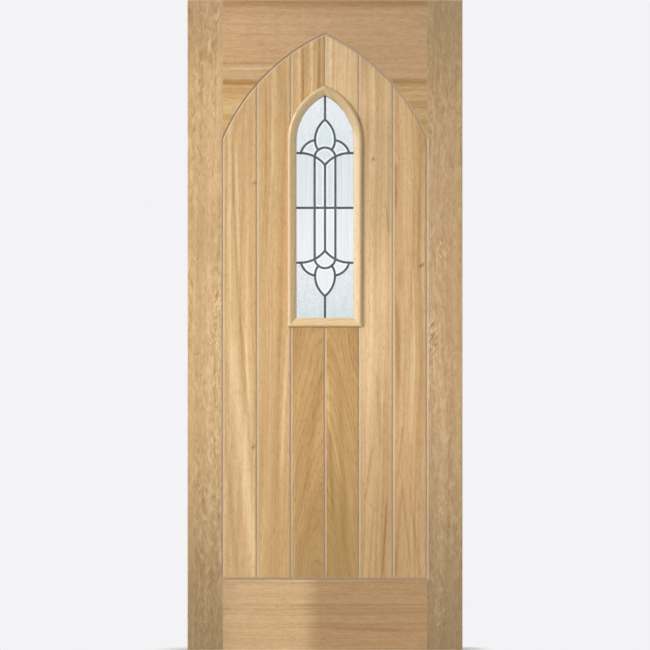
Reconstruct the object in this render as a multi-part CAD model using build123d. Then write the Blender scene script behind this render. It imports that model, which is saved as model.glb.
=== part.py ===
from build123d import *

import os
from math import atan2, cos, degrees, hypot, pi, sin, sqrt

# Glazed oak exterior door leaf: a frame of stiles and rails round a panel of upright
# boards with a pointed top, and a pointed window with a leaded light in a sealed unit.
# Millimetres. The origin is under the middle of the leaf, X runs along its width, Z up,
# and the outside face looks along -Y.

# Leaf
LEAF_WIDTH = 838.0
LEAF_HEIGHT = 1981.0
LEAF_THICKNESS = 44.0
ARRIS_RADIUS = 1.5
CUT_OVERRUN = 5.0

# Frame of the leaf, with the pointed arch placed from the top of the leaf
STILE_WIDTH = 108.0
BOTTOM_RAIL_DEPTH = 218.0
HEAD_BOARD_DEPTH = 248.0
ARCH_HEAD = 104.0
ARCH_RISE = 319.0
ARCH_RADIUS = 615.0

# Dowels that join the rails to the stiles
RAIL_DOWEL_DIAMETER = 16.0
RAIL_DOWEL_LENGTH = 120.0
RAIL_DOWEL_MARGIN = 45.0
RAIL_DOWEL_COUNT = 3

# Dowels that join the two lower corners of the head to its top board, placed along that
# joint as shares of its length from the stile
CORNER_DOWEL_DIAMETER = 10.0
CORNER_DOWEL_LENGTH = 48.0
CORNER_DOWEL_SHARES = (0.15, 0.4)

DOWEL_CLEARANCE = 0.1
DOWEL_END_CLEARANCE = 1.0

# Boards of the panel, tongued into each other and into the frame. Each slope of the V
# joints between them has its own width and depth.
BOARD_COUNT = 6
BOARD_GAP = 0.4
V_WIDTH = 4.5
V_DEPTH = 2.2
TONGUE_THICKNESS = 12.0
TONGUE_LENGTH = 10.0
TONGUE_CLEARANCE = 0.2
TONGUE_END_CLEARANCE = 1.0

# Window, two boards wide and placed from the point of the arch. Its sight line, where the
# moulding ends and the glass shows, is set in from the joints of those boards.
WINDOW_DROP = 186.0
SIGHT_HEIGHT = 679.0
SIGHT_RISE = 138.0
SIGHT_INSET = 16.7
APERTURE_MARGIN = 20.0

# Moulding round the window, the same section on both faces
MOULDING_LAP = 7.0
MOULDING_PROUD = 9.0
MOULDING_CREST_FLAT = 1.5
MOULDING_ROUND = 7.5
MOULDING_LIP = 10.5
MOULDING_SWELL = 0.6
MOULDING_CLEARANCE = 0.3

# Sealed unit
UNIT_CLEARANCE = 4.0
PANE_THICKNESS = 4.0
SPACER_GAP = 3.5
SPACER_WIDTH = 6.5
SEAL_WIDTH = 4.5
TAPE_THICKNESS = 2.0
TAPE_WIDTH = 10.0
TAPE_SETBACK = 1.5
SETTING_BLOCK_LENGTH = 40.0
SETTING_BLOCK_WIDTH = 20.0
SETTING_BLOCK_SPACING = 100.0

# Leaded light inside the sealed unit
CAME_WIDTH = 7.0
CAME_THICKNESS = 7.0
CAME_LEAF = 1.5
CAME_HEART = 1.6
CAME_BORDER_HEART = 2.8
SOLDER_DIAMETER = 8.6
GLASS_CLEARANCE = 0.1
FIELD_GLASS_THICKNESS = 3.6
BEVEL_DEPTH = 1.5
BEVEL_RISE = 0.8

# Pattern of the leaded light. The middle bar stands a share of the sight height above the
# sill, and the shoulder line a share of half that height above the bar. All else is in
# shares of half the sight width, across from the middle line and up from the shoulder
# line. The lower half mirrors the upper one.
MIDDLE_BAR_SHARE = 0.495
SHOULDER_HEIGHT_SHARE = 0.493
SHOULDER_START_SHARE = 0.87
STRIP_SHARE = 0.364
VALLEY_SHARE = -0.423
LENS_TOP_SHARE = 0.192
BUD_TIP_SHARE = 1.171
BUD_WIDEST_SHARES = (0.35, 0.45)
BUD_FOOT_SHARE = 0.235
PETAL_BOW_SHARES = (0.661, 0.306)
PETAL_TIP_SHARES = (0.847, 0.0)
BEVEL_SHARE = 0.092

# The glass pieces of the upper half: a point in each
BEVELLED_GLASS_SHARES = {
    "bud": (0.0, 0.6),
    "lens": (0.0, -0.1),
    "left_petal": (-0.55, 0.18),
    "right_petal": (0.55, 0.18),
    "left_strip": (-0.18, -0.6),
    "right_strip": (0.18, -0.6),
}
PLAIN_GLASS_SHARES = {
    "left_field": (-0.7, -0.6),
    "right_field": (0.7, -0.6),
    "left_corner": (-0.75, 0.6),
    "right_corner": (0.75, 0.6),
}

# Sizes and places that follow from the above
FRONT = -LEAF_THICKNESS / 2
BACK = LEAF_THICKNESS / 2
HALF_PANEL = LEAF_WIDTH / 2 - STILE_WIDTH
BOARD_WIDTH = 2 * HALF_PANEL / BOARD_COUNT
HEAD_JOINT_HEIGHT = LEAF_HEIGHT - HEAD_BOARD_DEPTH
ARCH_APEX_HEIGHT = LEAF_HEIGHT - ARCH_HEAD
ARCH_SPRING_HEIGHT = ARCH_APEX_HEIGHT - ARCH_RISE
GROOVE_DEPTH = TONGUE_LENGTH + TONGUE_END_CLEARANCE
GROOVE_THICKNESS = TONGUE_THICKNESS + 2 * TONGUE_CLEARANCE
HALF_SIGHT = BOARD_WIDTH - SIGHT_INSET
SIGHT_APEX_HEIGHT = ARCH_APEX_HEIGHT - WINDOW_DROP
SIGHT_SPRING_HEIGHT = SIGHT_APEX_HEIGHT - SIGHT_RISE
SIGHT_BASE_HEIGHT = SIGHT_APEX_HEIGHT - SIGHT_HEIGHT
# The window's arcs leave its upright sides without a corner
SIGHT_RADIUS = (SIGHT_RISE**2 + HALF_SIGHT**2) / (2 * HALF_SIGHT)
MOULDING_WIDTH = APERTURE_MARGIN + MOULDING_LAP
UNIT_COVER = APERTURE_MARGIN - UNIT_CLEARANCE
UNIT_HALF = CAME_THICKNESS / 2 + SPACER_GAP + PANE_THICKNESS
LIGHT_MARGIN = UNIT_COVER - SEAL_WIDTH
MIDDLE_BAR_HEIGHT = SIGHT_BASE_HEIGHT + MIDDLE_BAR_SHARE * SIGHT_HEIGHT
SHOULDER_HEIGHT = MIDDLE_BAR_HEIGHT + SHOULDER_HEIGHT_SHARE * SIGHT_HEIGHT / 2


class PointedOutline:
    """A level base, two upright sides and two arcs that meet in a point, drawn in XZ."""

    def __init__(self, half_width, base, spring, apex, radius):
        chord = hypot(half_width, apex - spring)
        reach = sqrt(radius**2 - (chord / 2) ** 2)
        self.half_width = half_width
        self.base = base
        self.radius = radius
        # The centre of each arc lies past the middle line, on the other side
        self.centre_offset = reach * (apex - spring) / chord - half_width / 2
        self.centre_height = (spring + apex) / 2 - reach * half_width / chord

    def height_on_arc(self, across, outset=0.0):
        reach = (self.radius + outset) ** 2 - (across + self.centre_offset) ** 2
        return self.centre_height + sqrt(max(reach, 0.0))

    def across_at(self, height):
        return sqrt(self.radius**2 - (height - self.centre_height) ** 2) - self.centre_offset

    def spring(self, outset=0.0):
        return self.height_on_arc(self.half_width + outset, outset)

    def apex(self, outset=0.0):
        return self.height_on_arc(0.0, outset)

    def turn(self, height, across):
        return atan2(height - self.centre_height, across + self.centre_offset)

    def on_arc(self, turn, outset=0.0):
        radius = self.radius + outset
        across = radius * cos(turn) - self.centre_offset
        return across, self.centre_height + radius * sin(turn)

    def sketch(self, outset=0.0):
        side = self.half_width + outset
        base = self.base - outset
        spring = self.spring(outset)
        apex = self.apex(outset)
        middle_turn = (self.turn(spring, side) + self.turn(apex, 0.0)) / 2
        bow, bow_height = self.on_arc(middle_turn, outset)
        return make_face(
            [
                Line((-side, base), (side, base)),
                Line((side, base), (side, spring)),
                ThreePointArc((side, spring), (bow, bow_height), (0, apex)),
                ThreePointArc((0, apex), (-bow, bow_height), (-side, spring)),
                Line((-side, spring), (-side, base)),
            ]
        )


def upright(sketch, y):
    """A sketch drawn across and up, stood on its edge at a depth y."""
    return Pos(0, y, 0) * (Plane.XZ * sketch)


def slab(sketch, front, back):
    """A sketch drawn across and up, as thick as from front to back."""
    return extrude(upright(sketch, front), amount=back - front, dir=(0, 1, 0))


def block(low, high):
    """A box between two corners."""
    size = [b - a for a, b in zip(low, high)]
    middle = [(a + b) / 2 for a, b in zip(low, high)]
    return Pos(*middle) * Box(*size)


def ring(outline, inner, outer, front, back):
    """A closed band between two outsets of an outline."""
    return slab(outline.sketch(outer), front, back) - slab(outline.sketch(inner), front, back)


def rod(start, direction, length, radius):
    """A round rod from a point along a direction."""
    plane = Plane(origin=start, z_dir=direction)
    return extrude(plane * Circle(radius), amount=length)


def mirrored(part):
    """The same piece on the other side of the leaf's middle line."""
    return mirror(part, about=Plane.YZ)


def turned_to_back(part):
    """The same piece on the inside face."""
    return mirror(part, about=Plane.XZ)


def spread(first, last, count):
    """Evenly spaced places from first to last."""
    if count == 1:
        return [(first + last) / 2]
    return [first + (last - first) * i / (count - 1) for i in range(count)]


PANEL = PointedOutline(
    HALF_PANEL, BOTTOM_RAIL_DEPTH, ARCH_SPRING_HEIGHT, ARCH_APEX_HEIGHT, ARCH_RADIUS
)
SIGHT = PointedOutline(
    HALF_SIGHT, SIGHT_BASE_HEIGHT, SIGHT_SPRING_HEIGHT, SIGHT_APEX_HEIGHT, SIGHT_RADIUS
)


# Frame

def rail_dowel_heights(low, high):
    return spread(low + RAIL_DOWEL_MARGIN, high - RAIL_DOWEL_MARGIN, RAIL_DOWEL_COUNT)


def rail_dowels(radius, length):
    """The dowels of both rails, centred on the joints between rail and stile."""
    heights = rail_dowel_heights(0.0, BOTTOM_RAIL_DEPTH)
    heights += rail_dowel_heights(HEAD_JOINT_HEIGHT, LEAF_HEIGHT)
    return [
        rod((side * HALF_PANEL - length / 2, 0, height), (1, 0, 0), length, radius)
        for side in (-1, 1)
        for height in heights
    ]


def corner_dowels(radius, length):
    """The upright dowels between the head's top board and its lower corners."""
    joint_length = HALF_PANEL - PANEL.across_at(HEAD_JOINT_HEIGHT)
    places = [HALF_PANEL - share * joint_length for share in CORNER_DOWEL_SHARES]
    return [
        rod((side * place, 0, HEAD_JOINT_HEIGHT - length / 2), (0, 0, 1), length, radius)
        for side in (-1, 1)
        for place in places
    ]


def panel_bevel(face, inward):
    """What the V joint takes off the frame round the panel on one face."""
    overrun = CUT_OVERRUN * V_WIDTH / V_DEPTH
    wide = upright(PANEL.sketch(V_WIDTH + overrun), face - inward * CUT_OVERRUN)
    narrow = upright(PANEL.sketch(), face + inward * V_DEPTH)
    return loft([wide, narrow], ruled=True)


def frame_cuts():
    """Everything that is cut out of the frame for the panel and the dowels."""
    cuts = [
        slab(PANEL.sketch(GROOVE_DEPTH), -GROOVE_THICKNESS / 2, GROOVE_THICKNESS / 2),
        panel_bevel(FRONT, 1),
        panel_bevel(BACK, -1),
    ]
    cuts += rail_dowels(
        RAIL_DOWEL_DIAMETER / 2 + DOWEL_CLEARANCE, RAIL_DOWEL_LENGTH + 2 * DOWEL_END_CLEARANCE
    )
    cuts += corner_dowels(
        CORNER_DOWEL_DIAMETER / 2 + DOWEL_CLEARANCE,
        CORNER_DOWEL_LENGTH + 2 * DOWEL_END_CLEARANCE,
    )
    return cuts


def eased(piece, outer_x):
    """A stile with its long outer edges rounded over."""
    edges = piece.edges().filter_by(Axis.Z).filter_by_position(Axis.X, outer_x, outer_x)
    return fillet(edges, ARRIS_RADIUS)


def frame_pieces():
    half = LEAF_WIDTH / 2
    opening = slab(PANEL.sketch(), FRONT - CUT_OVERRUN, BACK + CUT_OVERRUN)
    stile = block((-half, FRONT, 0), (-HALF_PANEL, BACK, LEAF_HEIGHT))
    bottom_rail = block((-HALF_PANEL, FRONT, 0), (HALF_PANEL, BACK, BOTTOM_RAIL_DEPTH))
    head_board = block((-HALF_PANEL, FRONT, HEAD_JOINT_HEIGHT), (HALF_PANEL, BACK, LEAF_HEIGHT))
    corner = block((-HALF_PANEL, FRONT, ARCH_SPRING_HEIGHT), (0, BACK, HEAD_JOINT_HEIGHT))
    pieces = {
        "left_stile": eased(stile, -half),
        "bottom_rail": bottom_rail,
        "head_board": head_board - opening,
        "left_head_corner": corner - opening,
    }
    cuts = frame_cuts()
    pieces = {name: piece - cuts for name, piece in pieces.items()}
    pieces["right_stile"] = mirrored(pieces["left_stile"])
    pieces["right_head_corner"] = mirrored(pieces["left_head_corner"])
    pieces["rail_dowels"] = Compound(rail_dowels(RAIL_DOWEL_DIAMETER / 2, RAIL_DOWEL_LENGTH))
    pieces["corner_dowels"] = Compound(
        corner_dowels(CORNER_DOWEL_DIAMETER / 2, CORNER_DOWEL_LENGTH)
    )
    return pieces


# Boarded panel

def column(low, high):
    """Everything between two upright planes."""
    deep = LEAF_THICKNESS
    return block((low, -deep, -CUT_OVERRUN), (high, deep, LEAF_HEIGHT))


def edge_groove(low, high):
    """The groove along one edge of a board."""
    half = GROOVE_THICKNESS / 2
    return block((low, -half, 0), (high, half, LEAF_HEIGHT))


def board(number):
    """One board of the panel before the window is cut, counted from the left.

    The boards of each half are tongued towards the middle, and the outer ones into the
    frame as well. The first board past the middle is grooved on both edges.
    """
    left = -HALF_PANEL + number * BOARD_WIDTH
    right = left + BOARD_WIDTH
    middle = BOARD_COUNT // 2
    tongue_left = number == 0 or number > middle
    tongue_right = number == BOARD_COUNT - 1 or number < middle
    body_left = left + BOARD_GAP / 2
    body_right = right - BOARD_GAP / 2

    body = slab(PANEL.sketch(-BOARD_GAP / 2), FRONT, BACK) & column(body_left, body_right)
    for end in (0, -1):
        face = body.faces().sort_by(Axis.Y)[end]
        body = chamfer(face.edges(), V_WIDTH, V_DEPTH, reference=face)

    reach_left = left - TONGUE_LENGTH if tongue_left else body_left
    reach_right = right + TONGUE_LENGTH if tongue_right else body_right
    tongue = slab(PANEL.sketch(TONGUE_LENGTH), -TONGUE_THICKNESS / 2, TONGUE_THICKNESS / 2)
    piece = body + (tongue & column(reach_left, reach_right))
    if not tongue_left:
        piece = piece - edge_groove(left - CUT_OVERRUN, left + GROOVE_DEPTH)
    if not tongue_right:
        piece = piece - edge_groove(right - GROOVE_DEPTH, right + CUT_OVERRUN)
    return piece


def panel_boards():
    aperture = slab(SIGHT.sketch(APERTURE_MARGIN), FRONT - CUT_OVERRUN, BACK + CUT_OVERRUN)
    boards = {}
    for number in range(BOARD_COUNT):
        name = f"board_{number + 1}"
        solids = (board(number) - aperture).solids().sort_by(Axis.Z)
        if len(solids) == 1:
            boards[name] = solids[0]
        else:
            boards[name + "_lower"] = solids[0]
            boards[name + "_upper"] = solids[-1]
    return boards


# Moulding round the window

def moulding_profile():
    """The section: across from the sight line outwards, and up out of the leaf's face."""
    seat = UNIT_HALF + TAPE_THICKNESS - LEAF_THICKNESS / 2
    lip = seat + MOULDING_LIP
    round_start = MOULDING_WIDTH - MOULDING_ROUND
    crest = round_start - MOULDING_CREST_FLAT
    stem = APERTURE_MARGIN - MOULDING_CLEARANCE
    slope = hypot(crest, MOULDING_PROUD - lip)
    swell_across = crest / 2 - MOULDING_SWELL * (MOULDING_PROUD - lip) / slope
    swell_up = (MOULDING_PROUD + lip) / 2 + MOULDING_SWELL * crest / slope
    edge = MOULDING_PROUD - MOULDING_ROUND
    diagonal = MOULDING_ROUND * sin(pi / 4)
    return make_face(
        [
            Line((0, seat), (0, lip)),
            ThreePointArc((0, lip), (swell_across, swell_up), (crest, MOULDING_PROUD)),
            Line((crest, MOULDING_PROUD), (round_start, MOULDING_PROUD)),
            ThreePointArc(
                (round_start, MOULDING_PROUD),
                (round_start + diagonal, edge + diagonal),
                (MOULDING_WIDTH, edge),
            ),
            Line((MOULDING_WIDTH, edge), (MOULDING_WIDTH, 0)),
            Line((MOULDING_WIDTH, 0), (stem, 0)),
            Line((stem, 0), (stem, seat)),
            Line((stem, seat), (0, seat)),
        ]
    )


def mitred_corner(reach):
    """The region to the right of the mitre at the window's lower right corner."""
    inner = (HALF_SIGHT - reach, SIGHT_BASE_HEIGHT + reach)
    outer = (HALF_SIGHT + reach, SIGHT_BASE_HEIGHT - reach)
    top = (HALF_SIGHT + reach, SIGHT_SPRING_HEIGHT + reach)
    inner_top = (HALF_SIGHT - reach, SIGHT_SPRING_HEIGHT + reach)
    sketch = make_face(
        [Line(inner, outer), Line(outer, top), Line(top, inner_top), Line(inner_top, inner)]
    )
    return slab(sketch, -LEAF_THICKNESS, LEAF_THICKNESS)


def moulding_pieces():
    """The five pieces of the moulding on the outside face."""
    profile = moulding_profile()
    reach = MOULDING_WIDTH + CUT_OVERRUN
    corner = mitred_corner(reach)

    at_spring = Plane((HALF_SIGHT, FRONT, SIGHT_SPRING_HEIGHT), (1, 0, 0), (0, 0, -1))
    drop = SIGHT_SPRING_HEIGHT - SIGHT_BASE_HEIGHT + reach
    right_side = extrude(at_spring * profile, amount=drop) & corner

    start = HALF_SIGHT + reach
    at_base = Plane((start, FRONT, SIGHT_BASE_HEIGHT), (0, 0, -1), (-1, 0, 0))
    sill = extrude(at_base * profile, amount=2 * start) - [corner, mirrored(corner)]

    axis = Axis((-SIGHT.centre_offset, 0, SIGHT.centre_height), (0, -1, 0))
    outer_turn = SIGHT.turn(SIGHT.apex(reach), 0.0)
    swept = revolve(at_spring * profile, axis, degrees(outer_turn))
    right_half = column(0, start)
    right_arc = swept & right_half
    return {
        "left_side": mirrored(right_side),
        "right_side": right_side,
        "sill": sill,
        "left_arc": mirrored(right_arc),
        "right_arc": right_arc,
    }


# Sealed unit

def sealed_unit():
    light_half = CAME_THICKNESS / 2
    inner_face = light_half + SPACER_GAP
    spacer_inner = LIGHT_MARGIN - SPACER_WIDTH
    outer_pane = slab(SIGHT.sketch(UNIT_COVER), -UNIT_HALF, -inner_face)
    outer_spacer = ring(SIGHT, spacer_inner, LIGHT_MARGIN, -inner_face, -light_half)
    tape_outer = TAPE_SETBACK + TAPE_WIDTH
    outer_tape = ring(SIGHT, TAPE_SETBACK, tape_outer, -UNIT_HALF - TAPE_THICKNESS, -UNIT_HALF)
    return {
        "outer_pane": outer_pane,
        "inner_pane": turned_to_back(outer_pane),
        "outer_spacer": outer_spacer,
        "inner_spacer": turned_to_back(outer_spacer),
        "edge_seal": ring(SIGHT, LIGHT_MARGIN, UNIT_COVER, -inner_face, inner_face),
        "outer_glazing_tape": outer_tape,
        "inner_glazing_tape": turned_to_back(outer_tape),
        "setting_blocks": setting_blocks(),
    }


def setting_blocks():
    """The two pads that the sealed unit stands on."""
    low = SIGHT_BASE_HEIGHT - APERTURE_MARGIN
    high = SIGHT_BASE_HEIGHT - UNIT_COVER
    half_length = SETTING_BLOCK_LENGTH / 2
    half_width = SETTING_BLOCK_WIDTH / 2
    return Compound(
        [
            block(
                (middle - half_length, -half_width, low), (middle + half_length, half_width, high)
            )
            for middle in (-SETTING_BLOCK_SPACING / 2, SETTING_BLOCK_SPACING / 2)
        ]
    )


# Leaded light

def light_point(across_share, up_share):
    """A point of the pattern from its shares, above the middle bar."""
    return across_share * HALF_SIGHT, SHOULDER_HEIGHT + up_share * HALF_SIGHT


def sweep_height(across):
    """The height of the sweep from the level shoulder line down to the valley."""
    start = SHOULDER_START_SHARE * HALF_SIGHT
    drop = -VALLEY_SHARE * HALF_SIGHT
    radius = (start**2 + drop**2) / (2 * drop)
    return SHOULDER_HEIGHT - radius + sqrt(radius**2 - (start - across) ** 2)


def lens_height(across):
    """The height of the arc over the lens, on which the bud stands."""
    strip = STRIP_SHARE * HALF_SIGHT
    top = light_point(0, LENS_TOP_SHARE)[1]
    rise = top - sweep_height(strip)
    radius = (strip**2 + rise**2) / (2 * rise)
    return top - radius + sqrt(radius**2 - across**2)


def upper_pattern():
    """The came centre lines above the middle bar, and the points where they are soldered."""
    strip = STRIP_SHARE * HALF_SIGHT
    strip_top = sweep_height(strip)
    edge = HALF_SIGHT + LIGHT_MARGIN
    start = light_point(SHOULDER_START_SHARE, 0)
    half_way = start[0] / 2
    valley = light_point(0, VALLEY_SHARE)
    bud_tip = light_point(0, BUD_TIP_SHARE)
    bud_widest = light_point(*BUD_WIDEST_SHARES)
    foot = BUD_FOOT_SHARE * HALF_SIGHT
    bud_foot = (foot, lens_height(foot))
    petal_bow = light_point(*PETAL_BOW_SHARES)
    petal_tip = light_point(*PETAL_TIP_SHARES)
    lens_top = light_point(0, LENS_TOP_SHARE)

    right_lines = [
        Line((strip, MIDDLE_BAR_HEIGHT), (strip, strip_top)),
        Line((edge, SHOULDER_HEIGHT), start),
        ThreePointArc(start, (half_way, sweep_height(half_way)), valley),
        TangentArc(bud_widest, bud_tip, tangent=(0, 1)),
        TangentArc(bud_widest, bud_foot, tangent=(0, -1)),
        ThreePointArc(bud_widest, petal_bow, petal_tip),
    ]
    lines = right_lines + [mirror(line, about=Plane.YZ) for line in right_lines]
    lines += [
        Line(bud_tip, (0, SIGHT.apex(LIGHT_MARGIN))),
        Line((0, MIDDLE_BAR_HEIGHT), valley),
        ThreePointArc((-strip, strip_top), lens_top, (strip, strip_top)),
    ]
    right_joints = [(strip, strip_top), bud_foot, bud_widest, petal_tip]
    joints = right_joints + [(-x, z) for x, z in right_joints]
    joints += [bud_tip, valley]
    return lines, joints


def light_lines():
    """All the came centre lines of the light."""
    lines = upper_pattern()[0]
    middle = Plane((0, MIDDLE_BAR_HEIGHT, 0), (1, 0, 0), (0, 1, 0))
    lines += [mirror(line, about=middle) for line in lines]
    edge = HALF_SIGHT + LIGHT_MARGIN
    lines.append(Line((-edge, MIDDLE_BAR_HEIGHT), (edge, MIDDLE_BAR_HEIGHT)))
    return lines


def solder_joints():
    """All the points of the light where cames are soldered."""
    joints = upper_pattern()[1]
    joints += [(x, 2 * MIDDLE_BAR_HEIGHT - z) for x, z in joints]
    strip = STRIP_SHARE * HALF_SIGHT
    joints += [(x, MIDDLE_BAR_HEIGHT) for x in (-strip, 0, strip)]
    return joints


def came_sketch(width, border):
    """The came pattern drawn with lines of one width, inside the light's border."""
    drawn = SIGHT.sketch(LIGHT_MARGIN) - SIGHT.sketch(LIGHT_MARGIN - border)
    for line in light_lines():
        drawn = drawn + trace(line, width)
    return drawn & SIGHT.sketch(LIGHT_MARGIN)


def lead_came():
    """The soldered lattice: two leaves with the heart between them."""
    half = CAME_THICKNESS / 2
    channel = half - CAME_LEAF
    leaf = came_sketch(CAME_WIDTH, CAME_WIDTH)
    for x, z in solder_joints():
        leaf = leaf + Pos(x, z) * Circle(SOLDER_DIAMETER / 2)
    heart = came_sketch(CAME_HEART, CAME_BORDER_HEART)
    return (
        slab(leaf, -half, -channel) + slab(leaf, channel, half) + slab(heart, -channel, channel)
    )


def plain_glass(cell):
    """A flat pane of the leaded light, cut to its cell."""
    half = FIELD_GLASS_THICKNESS / 2
    return slab(cell, -half, half)


def bevelled_glass(cell):
    """A thicker pane of the leaded light with a wide bevel round its outside face."""
    half = FIELD_GLASS_THICKNESS / 2
    pane = slab(cell, -half - BEVEL_RISE, half)
    front = pane.faces().sort_by(Axis.Y)[0]
    return chamfer(front.edges(), BEVEL_SHARE * HALF_SIGHT, BEVEL_DEPTH, reference=front)


def leaded_glass():
    heart = CAME_HEART + 2 * GLASS_CLEARANCE
    web = came_sketch(heart, CAME_BORDER_HEART + GLASS_CLEARANCE)
    cells = (SIGHT.sketch(LIGHT_MARGIN) - web).faces()

    def cell_at(point):
        return [cell for cell in cells if cell.is_inside((*point, 0))][0]

    pieces = {}
    for shape, points in (
        (bevelled_glass, BEVELLED_GLASS_SHARES),
        (plain_glass, PLAIN_GLASS_SHARES),
    ):
        for name, shares in points.items():
            x, z = light_point(*shares)
            pieces[f"upper_{name}_glass"] = shape(cell_at((x, z)))
            pieces[f"lower_{name}_glass"] = shape(cell_at((x, 2 * MIDDLE_BAR_HEIGHT - z)))
    return pieces


def all_pieces():
    pieces = frame_pieces()
    boards = panel_boards()
    mouldings = moulding_pieces()
    pieces.update({f"outer_moulding_{name}": piece for name, piece in mouldings.items()})
    pieces.update(
        {f"inner_moulding_{name}": turned_to_back(piece) for name, piece in mouldings.items()}
    )
    pieces.update(boards)
    pieces.update(sealed_unit())
    pieces["lead_came"] = lead_came()
    pieces.update(leaded_glass())
    return pieces


os.makedirs("parts", exist_ok=True)
for node, piece in all_pieces().items():
    export_step(piece, f"parts/{node}.step")
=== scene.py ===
import math

import bpy
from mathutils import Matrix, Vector


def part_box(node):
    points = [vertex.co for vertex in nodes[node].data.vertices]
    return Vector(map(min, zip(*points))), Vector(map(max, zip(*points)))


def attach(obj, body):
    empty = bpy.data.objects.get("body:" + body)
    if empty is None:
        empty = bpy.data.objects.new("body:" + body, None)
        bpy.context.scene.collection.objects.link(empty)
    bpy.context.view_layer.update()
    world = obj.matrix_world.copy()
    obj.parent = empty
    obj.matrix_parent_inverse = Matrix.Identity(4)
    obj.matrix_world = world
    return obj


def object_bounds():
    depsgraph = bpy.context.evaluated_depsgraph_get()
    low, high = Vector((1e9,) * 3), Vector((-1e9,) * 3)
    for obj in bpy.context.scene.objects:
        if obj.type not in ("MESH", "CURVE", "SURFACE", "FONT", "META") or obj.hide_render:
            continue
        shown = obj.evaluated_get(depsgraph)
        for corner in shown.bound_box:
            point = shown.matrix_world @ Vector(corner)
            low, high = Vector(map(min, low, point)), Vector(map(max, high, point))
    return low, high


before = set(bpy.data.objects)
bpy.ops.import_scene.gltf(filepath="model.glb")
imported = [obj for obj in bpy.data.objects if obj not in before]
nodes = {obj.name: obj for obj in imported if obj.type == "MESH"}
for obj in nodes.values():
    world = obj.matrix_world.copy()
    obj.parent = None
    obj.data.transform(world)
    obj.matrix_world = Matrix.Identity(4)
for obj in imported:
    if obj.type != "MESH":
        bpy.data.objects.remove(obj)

cadBox = [list(corner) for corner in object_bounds()]
leafLow, leafHigh = cadBox
leafHeight = leafHigh[2] - leafLow[2]
leafWidth = leafHigh[0] - leafLow[0]
quarterTurn = math.pi / 2
print("frame loaded:", len(nodes), "nodes")


# colours: written in sRGB steps of 0 to 255, handed to the shaders as linear light

white = (1, 1, 1, 1)


def linear(value):
    share = value / 255
    return share / 12.92 if share <= 0.04045 else ((share + 0.055) / 1.055) ** 2.4


def paint(red, green, blue):
    return (linear(red), linear(green), linear(blue), 1)


def scaled(color, factors):
    return tuple(part * factor for part, factor in zip(color, factors)) + (1,)


# shader nodes: most helpers add one or two nodes and return an output

halfway = 0.5  # the middle of a noise, and of the tones from pale to dark
fullSwing = 2  # a noise strays from its middle by half a unit at most
usualSwing = 4  # and mostly by a quarter


def newMaterial(name):
    material = bpy.data.materials.new(name)
    material.use_nodes = True
    tree = material.node_tree
    return material, tree, tree.nodes["Principled BSDF"]


def feed(tree, socket, value):
    if isinstance(value, bpy.types.NodeSocket):
        tree.links.new(value, socket)
    else:
        socket.default_value = value


def calc(tree, operation, first, second=0.0, third=0.0):
    node = tree.nodes.new("ShaderNodeMath")
    node.operation = operation
    for socket, value in zip(node.inputs, (first, second, third)):
        feed(tree, socket, value)
    return node.outputs[0]


def varied(tree, base, texture, strength, middle=halfway):
    offset = calc(tree, "SUBTRACT", texture, middle)
    return calc(tree, "MULTIPLY_ADD", offset, strength, base)


def vectorCalc(tree, operation, first, second=(0, 0, 0)):
    node = tree.nodes.new("ShaderNodeVectorMath")
    node.operation = operation
    feed(tree, node.inputs[0], first)
    feed(tree, node.inputs[1], second)
    return node.outputs["Value" if operation in ("LENGTH", "DOT_PRODUCT") else "Vector"]


def noise(tree, vector, detail=2.0, roughness=0.5, distortion=0.0):
    node = tree.nodes.new("ShaderNodeTexNoise")
    feed(tree, node.inputs["Vector"], vector)
    node.inputs["Scale"].default_value = 1
    node.inputs["Detail"].default_value = detail
    node.inputs["Roughness"].default_value = roughness
    node.inputs["Distortion"].default_value = distortion
    return node.outputs["Fac"]


def scaledNoise(tree, vector, scale, *settings):
    return noise(tree, vectorCalc(tree, "MULTIPLY", vector, scale), *settings)


def span(tree, value, low, high, outLow=0.0, outHigh=1.0):
    node = tree.nodes.new("ShaderNodeMapRange")
    node.interpolation_type = "SMOOTHSTEP"
    for socket, number in zip(node.inputs, (value, low, high, outLow, outHigh)):
        feed(tree, socket, number)
    return node.outputs[0]


def blend(tree, factor, first, second, mode="MIX"):
    node = tree.nodes.new("ShaderNodeMix")
    node.data_type = "RGBA"
    node.blend_type = mode
    for index, value in ((0, factor), (6, first), (7, second)):  # the sockets for colours
        feed(tree, node.inputs[index], value)
    return node.outputs[2]


def split(tree, vector):
    node = tree.nodes.new("ShaderNodeSeparateXYZ")
    feed(tree, node.inputs[0], vector)
    return node.outputs


def join(tree, x, y, z):
    node = tree.nodes.new("ShaderNodeCombineXYZ")
    for socket, value in zip(node.inputs, (x, y, z)):
        feed(tree, socket, value)
    return node.outputs[0]


def ramp(tree, value, stops):
    node = tree.nodes.new("ShaderNodeValToRGB")
    elements = node.color_ramp.elements
    while len(elements) < len(stops):
        elements.new(halfway)
    for element, (position, color) in zip(elements, stops):
        element.position = position
        element.color = color
    feed(tree, node.inputs[0], value)
    return node.outputs[0]


def bumped(tree, shader, height, strength, distance):
    node = tree.nodes.new("ShaderNodeBump")
    node.inputs["Strength"].default_value = strength
    node.inputs["Distance"].default_value = distance
    feed(tree, node.inputs["Height"], height)
    feed(tree, shader.inputs["Normal"], node.outputs[0])


def objectPlace(tree):
    return tree.nodes.new("ShaderNodeTexCoord").outputs["Object"]


def facingFront(tree):
    normal = tree.nodes.new("ShaderNodeNewGeometry").outputs["Normal"]
    return calc(tree, "ABSOLUTE", split(tree, normal)[1])


def dress(node, material):
    slots = nodes[node].data.materials
    slots.clear()
    slots.append(material)


# oak: rings round a pith, streaks that follow them, curl, fibres and open pores

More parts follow.
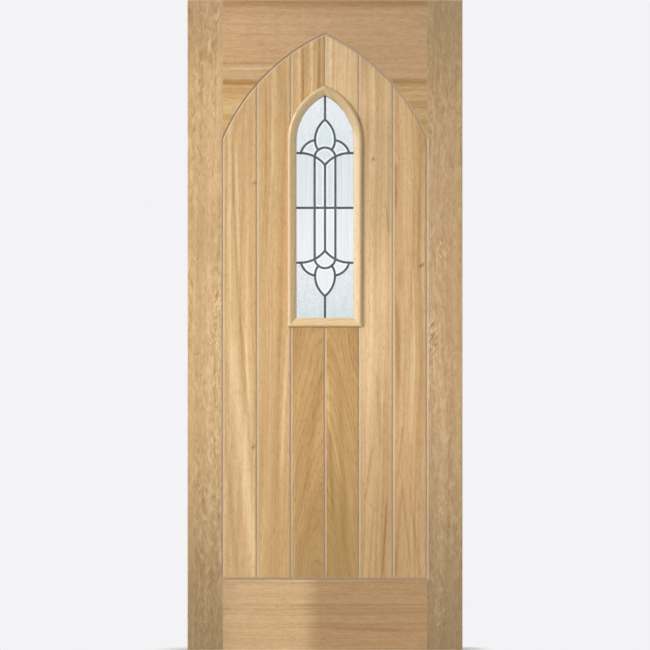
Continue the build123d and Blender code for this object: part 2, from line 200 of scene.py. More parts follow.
oakShades = {
    "warmth": (1.0, 0.988, 0.925),
    "paler": (1.31, 1.49, 1.72),
    "darker": (0.68, 0.58, 0.43),
    "rosy": (1.015, 0.99, 0.985, 1),
    "pore": paint(112, 82, 50),
}
oakFigure = {  # the same in every piece, with scales per metre across, into and along the grain
    "treeStep": (3.17, 1.73, 7.31),  # every seed is another tree
    "wanderScale": (4, 4, 1.3),
    "wanderShift": (31.7, 11.3, 5.1),  # from the drift across to the drift inwards
    "laneScale": 4,
    "laneNoise": (2, 0.55),  # detail, roughness and, where it has one, distortion
    "earlyWood": (0.55, 1.0),  # share of a ring
    "earlyMiddle": 0.25,
    "fibreScale": (650, 650, 9),
    "fibreNoise": (2, 0.6),
    "curlNoise": (3, 0.6, 1.0),
    "clusterScale": (4, 4, 2.5),
    "clusterSpan": (0.3, 0.65, 0.8, 3.2),  # of the noise, then of the curl's strength
    "streakSway": 0.25,  # share of the grain's own drift
    "streakCore": 0.1,  # share of the width that has full strength
    "streakFade": 0.15,  # share of the length, at both ends
    "fleckScale": (190, 50),
    "fleckNoise": (2, 0.5, 1.0),
    "fleckMiddle": 0.51,
    "eyeFray": 9.0,  # how far the curl bends the loops
    "toneRamp": (0.62, 0.19),  # tones times the first plus the second pick the colour
    "hueScale": (3, 3, 1),
    "hueSpan": (0.3, 0.7),
    "shadeStir": 0.03,
    "poreScale": (1500, 1500, 45),
    "poreDetail": 1,
    "poreEarly": 0.12,  # early wood has more pores
    "poreSpan": (0.62, 0.72),
    "poreStrength": 0.45,
    "poreRoughness": 0.2,
    "fibreRoughness": 0.1,
    "coatRoughness": 0.5,
    "relief": (0.3, 0.0003),  # strength, depth
}
oakLook = {
    "angle": 0.0,  # of the grain, from upright towards the right
    "pith": (-0.9, 0.1),  # across the grain and behind the front
    "lean": (0.015, 0.0),  # of the pith, per metre of length
    "wander": 0.014,
    "broad": (0.024, 0.60, 1.00),  # width, turns per metre, strength
    "fine": (0.006, 1.6, 0.45),
    "ring": (0.0032, 0.12),  # width, strength
    "fibre": 0.34,
    "curl": (70, 20, 0.25),  # across, along, strength
    "streaks": (),  # across at the far and near end, width, far and near end, strength
    "flecks": (),  # x, z, reach in x and z, tilt, strength
    "eyes": (),  # x, z, reach in x and z, loops, strength
    "shades": (),  # x, z, reach in x and z, softness, colour factors
    "groove": (196, 177, 153),  # the colour of the V slopes, partly the planed wood and partly painted light that lifts the shade in the groove
    "grooves": 0.55,
    "roughness": 0.5,
    "shine": 0.35,
    "coat": 0.0,
}
grooveSlope = {
    "facing": 0.898,  # how far the V slopes face the front
    "edge": 0.06,  # difference from that at the mask's edge and core
    "core": 0.03,
}


def reachShare(tree, place, x, z, reachX, reachZ):
    offset = vectorCalc(tree, "SUBTRACT", place, (x, 0, z))
    offset = vectorCalc(tree, "MULTIPLY", offset, (1 / reachX, 0, 1 / reachZ))
    return vectorCalc(tree, "LENGTH", offset)


def spot(tree, place, x, z, reachX, reachZ, softness=0.7):
    share = reachShare(tree, place, x, z, reachX, reachZ)
    return span(tree, share, 1.0, 1.0 - softness)


def turned(tree, place, angle, overScale=1, upScale=1):
    cosine, sine = math.cos(angle), math.sin(angle)
    over = vectorCalc(tree, "DOT_PRODUCT", place, (overScale * cosine, 0, -overScale * sine))
    up = vectorCalc(tree, "DOT_PRODUCT", place, (upScale * sine, 0, upScale * cosine))
    return over, up


# the grain wanders slowly along the board
def wanderingGrain(tree, straight, other, wander):
    slow = vectorCalc(tree, "MULTIPLY", straight, oakFigure["wanderScale"])
    slow = vectorCalc(tree, "ADD", slow, other)
    later = vectorCalc(tree, "ADD", slow, oakFigure["wanderShift"])
    drift = [varied(tree, 0.0, noise(tree, start), usualSwing * wander) for start in (slow, later)]
    grain = vectorCalc(tree, "ADD", straight, join(tree, *drift, 0))
    return grain, slow, drift[1]


def pithDistance(tree, grain, pith, lean):
    *sides, along = split(tree, grain)
    fromPith = []
    for side, start, perMetre in zip(sides, pith, lean):
        middle = calc(tree, "MULTIPLY_ADD", along, perMetre, start)
        fromPith.append(calc(tree, "SUBTRACT", side, middle))
    return vectorCalc(tree, "LENGTH", join(tree, *fromPith, 0))


# bands of a few rings, broad ones first
def addLanes(tree, tone, grain, radius, other, lanes):
    parts = split(tree, grain)
    for width, turns, strength in lanes:
        lane = join(
            tree,
            calc(tree, "DIVIDE", radius, width),
            calc(tree, "MULTIPLY", parts["X"], oakFigure["laneScale"]),
            calc(tree, "MULTIPLY", parts["Z"], turns),
        )
        streak = noise(tree, vectorCalc(tree, "ADD", lane, other), *oakFigure["laneNoise"])
        tone = varied(tree, tone, streak, fullSwing * strength)
    return tone, streak


def curled(tree, grain, slow, other, across, along):
    place = vectorCalc(tree, "MULTIPLY", grain, (across, across, along))
    curl = noise(tree, vectorCalc(tree, "ADD", place, other), *oakFigure["curlNoise"])
    cluster = scaledNoise(tree, slow, oakFigure["clusterScale"])
    return varied(tree, 0.0, curl, span(tree, cluster, *oakFigure["clusterSpan"]))


def addStreaks(tree, tone, across, along, streaks):
    for farAcross, nearAcross, width, far, near, strength in streaks:
        slant = (farAcross - nearAcross) / (far - near)
        middle = calc(tree, "MULTIPLY_ADD", along, slant, nearAcross - slant * near)
        aside = calc(tree, "ABSOLUTE", calc(tree, "SUBTRACT", across, middle))
        mask = span(tree, aside, width, oakFigure["streakCore"] * width, 0, strength)
        soft = oakFigure["streakFade"] * (far - near)
        mask = calc(tree, "MULTIPLY", mask, span(tree, along, near - soft, near + soft))
        mask = calc(tree, "MULTIPLY", mask, span(tree, along, far + soft, far - soft))
        tone = calc(tree, "ADD", tone, mask)
    return tone


def addFlecks(tree, tone, place, other, flecks):
    for *reach, tilt, strength in flecks:
        over, up = turned(tree, place, tilt, *oakFigure["fleckScale"])
        tilted = vectorCalc(tree, "ADD", join(tree, over, 0, up), other)
        ripple = noise(tree, tilted, *oakFigure["fleckNoise"])
        ripple = varied(tree, 0.0, ripple, spot(tree, place, *reach), oakFigure["fleckMiddle"])
        tone = calc(tree, "MULTIPLY_ADD", ripple, usualSwing * strength, tone)
    return tone


def addEyes(tree, tone, grain, curl, eyes):
    for *reach, loops, strength in eyes:
        loop = calc(tree, "MULTIPLY", reachShare(tree, grain, *reach), loops * math.tau)
        loop = calc(tree, "MULTIPLY_ADD", curl, oakFigure["eyeFray"], loop)
        wave = calc(tree, "MULTIPLY", calc(tree, "SINE", loop), spot(tree, grain, *reach))
        tone = calc(tree, "MULTIPLY_ADD", wave, strength, tone)
    return tone


def oakTones(color):
    base = scaled(paint(*color), oakShades["warmth"])
    return (
        (0.0, scaled(base, oakShades["paler"])),
        (halfway, base),
        (1.0, scaled(base, oakShades["darker"])),
    )


# the V slopes are painted greyer than the faces: partly planed wood, partly painted light that lifts
# and greys the shade in the groove
def grooveMask(tree, strength):
    offset = calc(tree, "SUBTRACT", facingFront(tree), grooveSlope["facing"])
    slope = calc(tree, "ABSOLUTE", offset)
    return span(tree, slope, grooveSlope["edge"], grooveSlope["core"], 0, strength)


def oak(name, seed, color, **changes):
    look = {**oakLook, **changes}
    material, tree, shader = newMaterial(name)
    place = objectPlace(tree)
    other = tuple(seed * step for step in oakFigure["treeStep"])
    across, along = turned(tree, place, look["angle"])
    straight = join(tree, across, split(tree, place)[1], along)
    grain, slow, drift = wanderingGrain(tree, straight, other, look["wander"])
    radius = pithDistance(tree, grain, look["pith"], look["lean"])

    # general grain, then the figure listed for each piece
    tone, streak = addLanes(tree, halfway, grain, radius, other, (look["broad"], look["fine"]))
    ringWidth, ringStrength = look["ring"]
    year = calc(tree, "FRACT", calc(tree, "DIVIDE", radius, ringWidth))
    early = span(tree, year, *oakFigure["earlyWood"])
    tone = varied(tree, tone, early, ringStrength, oakFigure["earlyMiddle"])
    fibre = scaledNoise(tree, grain, oakFigure["fibreScale"], *oakFigure["fibreNoise"])
    tone = varied(tree, tone, fibre, look["fibre"])
    curlAcross, curlAlong, curlStrength = look["curl"]
    curl = curled(tree, grain, slow, other, curlAcross, curlAlong)
    tone = calc(tree, "MULTIPLY_ADD", curl, curlStrength, tone)
    swayed = calc(tree, "MULTIPLY_ADD", drift, oakFigure["streakSway"], across)
    tone = addStreaks(tree, tone, swayed, along, look["streaks"])
    tone = addFlecks(tree, tone, place, other, look["flecks"])
    tone = addEyes(tree, tone, grain, curl, look["eyes"])

    # colours
    tone = calc(tree, "MULTIPLY_ADD", tone, *oakFigure["toneRamp"])
    wood = ramp(tree, tone, oakTones(color))
    hue = span(tree, scaledNoise(tree, slow, oakFigure["hueScale"]), *oakFigure["hueSpan"])
    wood = blend(tree, hue, wood, oakShades["rosy"], "MULTIPLY")
    swirl = varied(tree, 0.0, streak, oakFigure["shadeStir"])
    stirred = vectorCalc(tree, "ADD", place, join(tree, swirl, 0, swirl))
    for *reach, factors in look["shades"]:
        wood = blend(tree, spot(tree, stirred, *reach), wood, (*factors, 1), "MULTIPLY")
    pore = scaledNoise(tree, grain, oakFigure["poreScale"], oakFigure["poreDetail"])
    pore = calc(tree, "MULTIPLY_ADD", early, oakFigure["poreEarly"], pore)
    pores = span(tree, pore, *oakFigure["poreSpan"])
    poreShade = calc(tree, "MULTIPLY", pores, oakFigure["poreStrength"])
    wood = blend(tree, poreShade, wood, oakShades["pore"])
    wood = blend(tree, grooveMask(tree, look["grooves"]), wood, paint(*look["groove"]))
    feed(tree, shader.inputs["Base Color"], wood)

    # finish
    rough = calc(tree, "MULTIPLY_ADD", pores, oakFigure["poreRoughness"], look["roughness"])
    rough = calc(tree, "MULTIPLY_ADD", fibre, oakFigure["fibreRoughness"], rough)
    feed(tree, shader.inputs["Roughness"], rough)
    shader.inputs["Specular IOR Level"].default_value = look["shine"]
    shader.inputs["Coat Weight"].default_value = look["coat"]
    shader.inputs["Coat Roughness"].default_value = oakFigure["coatRoughness"]
    bumped(tree, shader, calc(tree, "SUBTRACT", fibre, pores), *oakFigure["relief"])
    return material


flat = quarterTurn  # grain across the leaf
frameLooks = {
    "left_stile": {
        "color": (214, 178, 132),
        "pith": (-1.4, 0.2),
        "broad": (0.020, 0.4, 0.55),
        "fine": (0.008, 1.2, 0.25),
        "fibre": 0.18,
        "curl": (78, 26, 0.88),
        "flecks": (
            (-0.326, 1.03, 0.028, 0.10, 0.75, 0.9),
            (-0.338, 0.96, 0.034, 0.06, -0.7, 0.7),
            (-0.336, 0.83, 0.020, 0.04, 0.2, 0.7),
            (-0.338, 0.61, 0.022, 0.06, 0.1, 0.8),
            (-0.328, 1.94, 0.018, 0.07, 0.3, 0.8),
            (-0.338, 1.74, 0.014, 0.16, 0.0, 0.5),
        ),
        "eyes": ((-0.372, 0.085, 0.060, 0.15, 4.5, 0.20), (-0.345, 0.42, 0.05, 0.16, 5, 0.13)),
        "shades": (
            (-0.37, -0.1, 9, 0.95, 1.0, (0.58, 0.605, 0.62)),
            (-0.37, 2.0, 9, 0.28, 0.7, (0.86, 0.86, 0.88)),
            (-0.37, 1.265, 9, 0.15, 0.8, (0.92, 0.915, 0.90)),
        ),
    },
    "right_stile": {
        "color": (197, 165, 125),
        "pith": (1.4, 0.2),
        "broad": (0.020, 0.4, 0.40),
        "fine": (0.008, 1.2, 0.25),
        "fibre": 0.18,
        "curl": (82, 26, 0.70),
        "flecks": (
            (0.326, 0.942, 0.026, 0.10, 0.5, 1.6),
            (0.322, 1.62, 0.016, 0.12, -0.2, 0.7),
            (0.350, 0.12, 0.03, 0.12, 0.8, 0.6),
            (0.355, 1.22, 0.03, 0.06, -0.5, 0.6),
        ),
        "eyes": ((0.362, 0.42, 0.035, 0.16, 4, 0.20),),
        "shades": (
            (0.37, -0.1, 9, 0.95, 1.0, (0.63, 0.65, 0.65)),
            (0.37, 2.0, 9, 0.45, 0.9, (0.83, 0.85, 0.85)),
        ),
    },
    "head_board": {
        "color": (216, 176, 134),
        "angle": flat,
        "pith": (-2.7, 0.1),
        "groove": (176, 155, 133),
        "grooves": 0.8,
        "broad": (0.014, 0.5, 0.3),
        "fine": (0.006, 1.6, 0.25),
        "streaks": (
            (-1.975, -1.972, 0.022, 0.5, -0.5, 0.6),
            (-1.737, -1.736, 0.006, 0.5, -0.5, 0.5),
            (-1.790, -1.788, 0.006, -0.05, -0.35, 0.4),
            (-1.774, -1.772, 0.007, -0.05, -0.35, -0.4),
        ),
        "shades": ((0.25, 1.86, 0.62, 9, 0.9, (0.84, 0.86, 0.87)),),
    },
    "left_head_corner": {
        "color": (214, 175, 121),
        "angle": flat,
        "pith": (-2.5, 0.15),
        "groove": (176, 155, 133),
        "grooves": 0.8,
        "streaks": ((-1.731, -1.730, 0.010, 0.0, -0.5, 1.0),),
    },
    "right_head_corner": {
        "color": (196, 162, 114),
        "angle": flat,
        "pith": (-2.5, 0.15),
        "groove": (176, 155, 133),
        "grooves": 0.8,
        "streaks": ((-1.731, -1.730, 0.008, 0.5, 0.0, 0.7),),
    },
    "bottom_rail": {
        "color": (219, 184, 142),
        "angle": flat,
        "pith": (0.9, 0.1),
        "broad": (0.020, 0.5, 0.4),
        "fine": (0.006, 1.6, 0.35),
        "groove": (158, 132, 100),
        "grooves": 0.7,
        "streaks": (
            (-0.140, -0.138, 0.006, 0.32, -0.30, 0.32),
            (-0.118, -0.112, 0.007, 0.32, 0.02, 0.22),
            (-0.060, -0.070, 0.010, 0.32, 0.00, 0.26),
            (-0.184, -0.190, 0.006, 0.32, 0.05, 0.20),
        ),
        "shades": (
            (0.36, 0.10, 0.445, 0.9, 0.17, (0.68, 0.64, 0.58)),
            (-0.34, 0.10, 0.10, 9, 0.9, (0.88, 0.88, 0.89)),
        ),
    },
}
boardLooks = {
    "board_1": {
        "color": (217, 180, 132),
        "broad": (0.020, 0.6, 0.8),
        "streaks": (
            (-0.291, -0.291, 0.012, 1.62, 1.05, -0.45),
            (-0.283, -0.267, 0.005, 1.56, 1.08, 0.38),
            (-0.272, -0.259, 0.007, 1.54, 1.15, -0.42),
            (-0.293, -0.215, 0.024, 1.00, 0.25, -0.50),
            (-0.245, -0.232, 0.007, 0.98, 0.75, -0.30),
            (-0.262, -0.228, 0.008, 1.05, 0.60, 0.33),
            (-0.300, -0.268, 0.014, 0.62, 0.22, 0.33),
            (-0.228, -0.228, 0.010, 1.62, 1.10, 0.26),
        ),
        "shades": (
            (-0.212, 1.423, 0.014, 0.007, 0.9, (0.58, 0.52, 0.44)),
            (-0.218, 0.620, 0.010, 0.012, 0.9, (0.66, 0.60, 0.52)),
        ),
    },
    "board_2": {
        "color": (213, 175, 126),
        "broad": (0.024, 0.6, 0.6),
        "streaks": (
            (-0.155, -0.157, 0.010, 1.80, 1.45, -0.45),
            (-0.114, -0.134, 0.010, 0.96, 0.55, -0.39),
            (-0.180, -0.176, 0.008, 1.70, 1.20, 0.26),
        ),
    },
    "board_3_upper": {
        "color": (212, 174, 126),
        "broad": (0.016, 0.3, 0.5),
        "streaks": (
            (-0.068, -0.068, 0.007, 1.9, 1.5, 0.65),
            (-0.079, -0.079, 0.006, 1.9, 1.5, -0.39),
            (-0.040, -0.040, 0.007, 1.9, 1.5, -0.52),
            (-0.018, -0.018, 0.008, 1.9, 1.5, 0.85),
        ),
    },
    "board_3_lower": {
        "color": (201, 161, 109),
        "pith": (0.005, 0.2),
        "lean": (0.0, 0.05),
        "ring": (0.0032, 0.07),
        "broad": (0.010, 0.5, 0.6),
        "streaks": (
            (-0.012, -0.062, 0.014, 0.88, 0.45, 0.30),
            (-0.010, -0.034, 0.005, 0.92, 0.72, -0.28),
            (-0.092, -0.094, 0.006, 0.60, 0.22, -0.28),
        ),
        "flecks": ((-0.016, 0.47, 0.022, 0.15, 1.3, 0.35),),
        "shades": (
            (-0.05, 0.15, 9, 0.5, 0.9, (0.87, 0.90, 0.88)),
            # painted shadow: darker at the top of the board, just below the sill moulding
            (-0.05, 0.95, 9, 0.2, 0.8, (0.94, 0.93, 0.91)),
        ),
    },
    "board_4_upper": {
        "color": (228, 194, 150),
        "broad": (0.020, 0.3, 0.5),
        "streaks": ((0.016, 0.016, 0.007, 1.9, 1.5, -0.33),),
    },
    "board_4_lower": {
        "color": (198, 159, 106),
        "pith": (-0.005, 0.2),
        "lean": (0.0, 0.05),
        "ring": (0.0032, 0.07),
        "broad": (0.010, 0.5, 0.6),
        "streaks": (
            (0.009, 0.013, 0.006, 0.84, 0.67, -0.55),
            (0.015, 0.052, 0.005, 0.69, 0.52, -0.60),
            (0.013, 0.018, 0.005, 0.52, 0.42, -0.35),
            (0.045, 0.060, 0.016, 0.80, 0.30, 0.30),
            (0.016, 0.024, 0.009, 0.66, 0.40, 0.35),
        ),
        "shades": ((0.05, 0.15, 9, 0.65, 0.9, (0.81, 0.83, 0.77)),),
    },
    "board_5": {
        "color": (214, 179, 134),
        "pith": (0.9, 0.1),
        "broad": (0.022, 0.6, 0.8),
        "streaks": (
            (0.160, 0.172, 0.010, 0.84, 0.62, 0.39),
            (0.190, 0.176, 0.006, 0.45, 0.22, 0.65),
            (0.120, 0.118, 0.010, 1.70, 1.20, -0.33),
            (0.186, 0.195, 0.005, 1.36, 1.27, 0.45),
            (0.146, 0.124, 0.007, 0.62, 0.45, 0.40),
            (0.150, 0.136, 0.006, 0.42, 0.22, 0.30),
        ),
        "shades": (
            (0.155, 0.94, 9, 0.34, 0.8, (1.12, 1.15, 1.19)),
            (0.131, 1.70, 0.03, 0.10, 0.9, (1.10, 1.12, 1.18)),
            (0.155, 1.45, 9, 0.19, 0.20, (0.93, 0.94, 0.95)),
            (0.155, 0.2, 9, 0.45, 0.7, (0.90, 0.88, 0.85)),
            (0.1467, 1.493, 0.007, 0.010, 0.9, (0.42, 0.32, 0.21)),
            (0.180, 1.13, 0.050, 0.16, 0.7, (1.06, 1.08, 1.10)),
        ),
    },
    "board_6": {
        "color": (213, 176, 130),
        "pith": (1.0, 0.1),
        "streaks": (
            (0.221, 0.228, 0.012, 1.05, 0.80, 0.45),
            (0.270, 0.262, 0.012, 0.95, 0.65, -0.33),
            (0.232, 0.214, 0.008, 0.48, 0.22, 0.39),
            (0.217, 0.219, 0.006, 1.48, 1.34, 0.60),
            (0.236, 0.222, 0.006, 0.68, 0.52, 0.40),
            (0.236, 0.262, 0.006, 0.50, 0.24, 0.35),
            (0.258, 0.285, 0.006, 0.50, 0.24, 0.30),
            (0.286, 0.284, 0.004, 1.40, 1.16, 0.38),
            (0.268, 0.262, 0.005, 1.22, 1.02, 0.40),
            (0.298, 0.298, 0.006, 1.48, 1.08, -0.35),
        ),
        "shades": (
            (0.26, 0.15, 9, 0.55, 0.7, (0.87, 0.87, 0.87)),
            (0.291, 1.170, 0.008, 0.009, 0.9, (0.50, 0.39, 0.27)),
            (0.229, 1.137, 0.018, 0.05, 1.0, (0.86, 0.81, 0.72)),
        ),
    },
}
firstSeeds = {"frame": 0, "boards": 10, "mouldings": 20, "dowels": 30}
for seed, (node, look) in enumerate(frameLooks.items(), firstSeeds["frame"]):
    dress(node, oak("oak_" + node, seed, **look))
for seed, (board, look) in enumerate(boardLooks.items(), firstSeeds["boards"]):
    wood = oak("oak_" + board, seed, **look)
    for node in nodes:
        if node.startswith(board):
            dress(node, wood)

mouldingLook = {
    "color": (209, 178, 128),
    "broad": (0.012, 0.9, 0.35),
    "curl": (95, 40, 0.15),
    "grooves": 0,
    "roughness": 0.42,
    "shine": 1.2,
    "coat": 0.6,
}
# the sill is paler than the other mouldings: partly a lighter piece of oak, partly painted light on
# its upward-facing slope
sillColor = (226, 194, 142)
arcAngle = math.radians(35)
mouldingAngles = {
    "left_side": 0.0,
    "right_side": 0.0,
    "sill": flat,
    "left_arc": arcAngle,
    "right_arc": -arcAngle,
}
for face in ("outer", "inner"):
    for seed, (side, angle) in enumerate(mouldingAngles.items(), firstSeeds["mouldings"]):
        node = f"{face}_moulding_{side}"
        look = {**mouldingLook, "color": sillColor} if side == "sill" else mouldingLook
        dress(node, oak("oak_" + node, seed, angle=angle, **look))

dowelLook = {
    "color": (222, 186, 146),
    "broad": (0.01, 1, 0.2),
    "curl": (200, 60, 0.1),
    "grooves": 0,
}
dowelAngles = {"rail_dowels": flat, "corner_dowels": 0.0}
for seed, (node, angle) in enumerate(dowelAngles.items(), firstSeeds["dowels"]):
    dress(node, oak("beech_" + node, seed, angle=angle, **dowelLook))
print("oak done")


# glass: tints at the foot and the head of a piece

glassLook = {
    "streaks": (0, 0, 0),  # per metre across and along, strength
    "speckle": (0, 0),  # per metre, strength
    "relief": 0.0,
    "roughness": 0.0,
    "paintedRimLight": 0.0,  # painted highlight and glow: how much clearer and brighter the sloping rim is painted than the core
}
glassBody = {  # the same in every piece
    "ior": 1.5,
    "streakNoise": (3, 0.6),  # detail, roughness
    "speckleNoise": (2, 0.7),
    "streakRoughness": 0.04,
    # painted glow of the bevel's rim, which is no lamp
    "paintedRimGlow": 0.06,
    "reliefDepth": 0.0006,
}
bevelFacing = (0.996, 0.988)  # of the flat core and the sloping rim


def glass(node, name, foot, head, **changes):
    look = {**glassLook, **changes}
    material, tree, shader = newMaterial(name)
    place = objectPlace(tree)
    low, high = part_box(node)
    rise = span(tree, split(tree, place)[2], low[2], high[2])
    tint = blend(tree, rise, (*foot, 1), (*head, 1))
    across, along, strength = look["streaks"]
    streak = scaledNoise(tree, place, (across, across, along), *glassBody["streakNoise"])
    shade = varied(tree, 1.0, streak, fullSwing * strength)
    scale, strength = look["speckle"]
    speckle = scaledNoise(tree, place, (scale, scale, scale), *glassBody["speckleNoise"])
    shade = varied(tree, shade, speckle, fullSwing * strength)
    color = vectorCalc(tree, "MULTIPLY", join(tree, shade, shade, shade), tint)
    # painted highlight: the sloping rim is blended towards white, standing in for the bright light
    # its bevel refracts
    paintedRimLight = span(tree, facingFront(tree), *bevelFacing, 0, look["paintedRimLight"])
    feed(tree, shader.inputs["Base Color"], blend(tree, paintedRimLight, color, white))
    rough = calc(tree, "MULTIPLY_ADD", streak, glassBody["streakRoughness"], look["roughness"])
    feed(tree, shader.inputs["Roughness"], rough)
    shader.inputs["Transmission Weight"].default_value = 1
    shader.inputs["IOR"].default_value = glassBody["ior"]
    # painted glow: the rim emits a little white light though it is no lamp
    if look["paintedRimLight"]:
        shader.inputs["Emission Color"].default_value = white
        glow = calc(tree, "MULTIPLY", paintedRimLight, glassBody["paintedRimGlow"])
        feed(tree, shader.inputs["Emission Strength"], glow)
    if look["relief"]:
        bumped(tree, shader, speckle, look["relief"], glassBody["reliefDepth"])
    return material


paneTint = (0.995, 1.0, 1.0)
for node in ("outer_pane", "inner_pane"):
    dress(node, glass(node, node + "_glass", paneTint, paneTint, streaks=(9, 4, 0.01)))
lightLooks = {
    "field": {"streaks": (150, 3, 0.16), "speckle": (330, 0.08), "relief": 0.10, "roughness": 0.08},
    "corner": {"streaks": (60, 20, 0.10), "speckle": (280, 0.38), "relief": 0.25, "roughness": 0.12},
    "bevelled": {"streaks": (90, 25, 0.08), "paintedRimLight": 1.0},
}
lightTints = {
    "upper_field": ((0.870, 0.930, 0.950), (0.850, 0.915, 0.930)),
    "lower_field": ((0.990, 1.000, 1.000), (0.940, 0.965, 0.985)),
    "upper_corner": ((0.855, 0.925, 0.945), (0.960, 0.985, 1.000)),
    "lower_corner": ((0.800, 0.870, 0.885), (0.930, 0.965, 0.985)),
    "upper_bevelled": ((0.820, 0.890, 0.915), (0.820, 0.890, 0.915)),
    "lower_bevelled": ((0.970, 0.995, 1.000), (0.970, 0.995, 1.000)),
}
for node in nodes:
    if node.endswith("_glass"):
        half = node.split("_")[0]
        kind = next((kind for kind in ("field", "corner") if kind in node), "bevelled")
        dress(node, glass(node, node, *lightTints[f"{half}_{kind}"], **lightLooks[kind]))
print("glass done")


# lead, spacers, seals: a plain colour with cloudy wear

plainWear = {
    "noise": (4, 0.6),  # detail, roughness
    "patches": (0.35, 0.7),
    "roughness": 0.3,
    "reliefDepth": 0.0005,
}


def plain(name, color, wear, metallic, roughness, scale, relief):
    material, tree, shader = newMaterial(name)
    cloud = scaledNoise(tree, objectPlace(tree), scale, *plainWear["noise"])
    patch = span(tree, cloud, *plainWear["patches"])
    feed(tree, shader.inputs["Base Color"], blend(tree, patch, paint(*color), paint(*wear)))
    rough = calc(tree, "MULTIPLY_ADD", cloud, plainWear["roughness"], roughness)
    feed(tree, shader.inputs["Roughness"], rough)
    shader.inputs["Metallic"].default_value = metallic
    if relief:
        bumped(tree, shader, cloud, relief, plainWear["reliefDepth"])
    return material


leadLook = {
    "color": (63, 72, 78),
    "wear": (82, 91, 98),
    "metallic": 0.35,
    "roughness": 0.4,
    "scale": (140, 140, 90),
    "relief": 0.2,
}
sealLook = {
    "color": (34, 34, 35),
    "wear": (48, 47, 46),
    "metallic": 0,
    "roughness": 0.5,
    "scale": (90, 90, 90),
    "relief": 0.2,
}
padLook = {
    "color": (52, 50, 48),
    "wear": (66, 63, 60),
    "metallic": 0,
    "roughness": 0.4,
    "scale": (120, 120, 120),
    "relief": 0.1,
}
spacerLook = {
    "color": (176, 178, 180),
    "wear": (198, 199, 200),
    "metallic": 0.9,
    "roughness": 0.25,
    "scale": (80, 80, 14),
    "relief": 0,
}
tapeLook = {
    "color": (60, 58, 56),
    "wear": (78, 75, 72),
    "metallic": 0,
    "roughness": 0.6,
    "scale": (100, 100, 100),
    "relief": 0.2,
}
dress("lead_came", plain("dullLead", **leadLook))
dress("edge_seal", plain("blackSeal", **sealLook))
dress("setting_blocks", plain("darkPads", **padLook))
for face in ("outer", "inner"):
    dress(f"{face}_spacer", plain(f"{face}_spacer", **spacerLook))
    dress(f"{face}_glazing_tape", plain(f"{face}_tape", **tapeLook))
print("lead and seals done")


# solder: a low dome on every joint of the cames, on both faces

solderLook = {
    "color": (58, 65, 71),
    "wear": (98, 106, 112),
    "metallic": 0.6,
    "roughness": 0.3,
    "scale": (260, 260, 260),
    "relief": 0.3,
}
domeShape = {
    "radius": 0.0043,
    "height": 0.0009,
    "seat": 0.0002,  # how deep it goes into the came's face
    "segments": 20,
    "rings": 10,
    "smoothAngle": math.radians(50),
}
stripShare = 0.364
jointShares = (  # of half the sight width, across and up from the shoulder line
    (stripShare, -0.122), (0.235, 0.107), (0.35, 0.45), (0.847, 0.0), (0.0, 1.171), (0.0, -0.423),
)
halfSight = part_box("outer_moulding_right_side")[0][0]
heart = 0.0009  # from a came's middle line to the glass
barHeight = (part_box("upper_left_field_glass")[0][2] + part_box("lower_left_field_glass")[1][2]) / 2
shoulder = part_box("upper_left_field_glass")[1][2] + heart
joints = [(side * stripShare * halfSight, barHeight) for side in (-1, 0, 1)]
for across, up in jointShares:
    for side in (-1, 1) if across else (1,):
        height = shoulder + up * halfSight
        joints += [(side * across * halfSight, z) for z in (height, 2 * barHeight - height)]
cameFront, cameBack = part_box("lead_came")[0][1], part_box("lead_came")[1][1]

# one dome, flattened and cut off just below the came's face
bpy.ops.object.select_all(action="DESELECT")
bpy.ops.mesh.primitive_uv_sphere_add(
    segments=domeShape["segments"],
    ring_count=domeShape["rings"],
    radius=domeShape["radius"],
    rotation=(quarterTurn, 0, 0),
)
bpy.ops.object.transform_apply(location=True, rotation=True, scale=True)
bpy.ops.object.mode_set(mode="EDIT")
bpy.ops.mesh.select_all(action="SELECT")
flatness = domeShape["height"] / domeShape["radius"]
bpy.ops.transform.resize(value=(1, flatness, 1), center_override=(0, 0, 0))
seat = domeShape["seat"]
bpy.ops.mesh.bisect(plane_co=(0, seat, 0), plane_no=(0, 1, 0), use_fill=True, clear_outer=True)
bpy.ops.mesh.select_all(action="SELECT")
bpy.ops.mesh.normals_make_consistent(inside=False)
bpy.ops.object.mode_set(mode="OBJECT")
bpy.ops.object.shade_smooth_by_angle(angle=domeShape["smoothAngle"])
dome = bpy.context.object

copies = []
for x, z in joints:
    for y, turn in ((cameFront, 0), (cameBack, math.pi)):
        bpy.ops.object.duplicate()
        copy = bpy.context.object
        copy.location = (x, y, z)
        copy.rotation_euler = (0, 0, turn)
        copies.append(copy)
bpy.data.objects.remove(dome)
for copy in copies:
    copy.select_set(True)
bpy.ops.object.join()
bpy.ops.object.transform_apply(location=True, rotation=True, scale=True)
solderJoints = bpy.context.object
solderJoints.name = "solder_joints"
solderJoints.data.materials.append(plain("dullSolder", **solderLook))
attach(solderJoints, "root")


# stage, light and camera

backdropColor = paint(243, 243, 245)
stage = {
    "size": 12.0,
    "color": (0.9, 0.9, 0.9, 1),
    "roughness": 0.9,
    "fadeStart": 0.03,  # from the leaf's shadow to the backdrop
    "fadeEnd": 0.11,
}
lamp = {"aim": (0, 0, 1.0), "distance": 8.0, "radius": 1.3, "cone": 22, "blend": 1}
lampSides = {  # direction from the aim, power
    "key": ((-0.75, -0.55, 0.33), 3250),
    "back_fill": ((0.70, 0.60, 0.33), 1600),
}
ambient = {"color": white, "strength": 0.51}
camera = {"lens": 200, "sensor": 36}


# what is seen directly, mirrored or through glass
def seenRay(tree):
    path = tree.nodes.new("ShaderNodeLightPath")
    seen = calc(tree, "MAXIMUM", path.outputs["Is Camera Ray"], path.outputs["Is Glossy Ray"])
    return calc(tree, "MAXIMUM", seen, path.outputs["Is Transmission Ray"])


def mixShaders(tree, factor, first, second):
    node = tree.nodes.new("ShaderNodeMixShader")
    for socket, value in zip(node.inputs, (factor, first, second)):
        feed(tree, socket, value)
    return node.outputs[0]


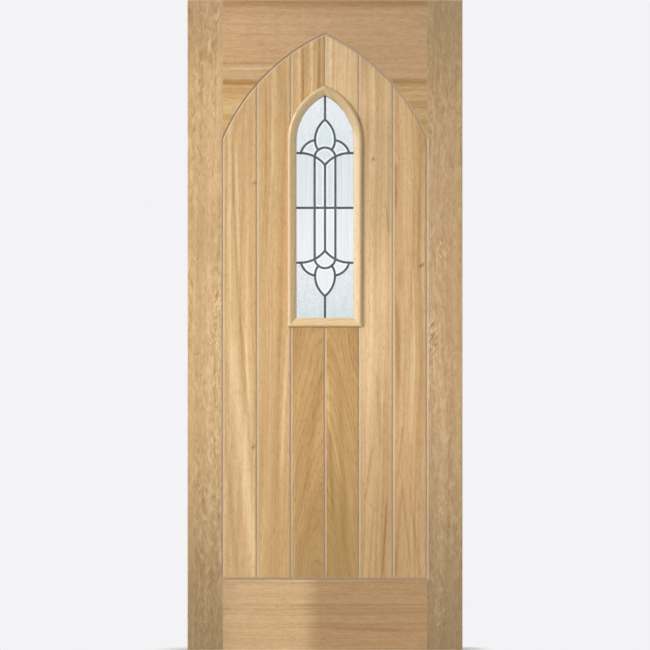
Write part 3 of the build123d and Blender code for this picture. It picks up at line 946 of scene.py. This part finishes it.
world = bpy.data.worlds.new("paleStudio")
world.use_nodes = True
bpy.context.scene.world = world
tree = world.node_tree
tree.nodes.clear()
soft = tree.nodes.new("ShaderNodeBackground")
soft.inputs["Color"].default_value = ambient["color"]
soft.inputs["Strength"].default_value = ambient["strength"]
backdrop = tree.nodes.new("ShaderNodeBackground")
backdrop.inputs["Color"].default_value = backdropColor
studio = mixShaders(tree, seenRay(tree), soft.outputs[0], backdrop.outputs[0])
output = tree.nodes.new("ShaderNodeOutputWorld")
feed(tree, output.inputs["Surface"], studio)

bpy.ops.object.select_all(action="DESELECT")
bpy.ops.mesh.primitive_plane_add(size=stage["size"], location=(0, 0, leafLow[2]))
floor = bpy.context.object
floor.name = "floor"
material, tree, shader = newMaterial("paleFloor")
shader.inputs["Base Color"].default_value = stage["color"]
shader.inputs["Roughness"].default_value = stage["roughness"]
glow = tree.nodes.new("ShaderNodeEmission")
glow.inputs["Color"].default_value = backdropColor
place = split(tree, objectPlace(tree))
aside = calc(tree, "SUBTRACT", calc(tree, "ABSOLUTE", place["X"]), leafWidth / 2)
aside = calc(tree, "MAXIMUM", aside, 0.0)
away = vectorCalc(tree, "LENGTH", join(tree, aside, place["Y"], 0))
fade = span(tree, away, stage["fadeStart"], stage["fadeEnd"])
fade = calc(tree, "MULTIPLY", fade, seenRay(tree))
surface = mixShaders(tree, fade, shader.outputs[0], glow.outputs[0])
feed(tree, tree.nodes["Material Output"].inputs["Surface"], surface)
floor.data.materials.append(material)

for name, (side, power) in lampSides.items():
    toLamp = Vector(side).normalized()
    bpy.ops.object.light_add(type="SPOT", location=Vector(lamp["aim"]) + toLamp * lamp["distance"])
    light = bpy.context.object
    light.name = name
    light.rotation_euler = toLamp.to_track_quat("Z", "Y").to_euler()
    light.data.energy = power
    light.data.shadow_soft_size = lamp["radius"]
    light.data.spot_size = math.radians(lamp["cone"])
    light.data.spot_blend = lamp["blend"]

distance = leafHeight / 2 / (camera["sensor"] / 2 / camera["lens"])
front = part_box("left_stile")[0][1]
bpy.ops.object.camera_add(
    location=(0, front - distance, leafLow[2] + leafHeight / 2), rotation=(quarterTurn, 0, 0)
)
eye = bpy.context.object
eye.data.lens = camera["lens"]
eye.data.sensor_width = camera["sensor"]
bpy.context.scene.camera = eye
bpy.context.scene.view_settings.view_transform = "Standard"
print("stage, light and camera done")
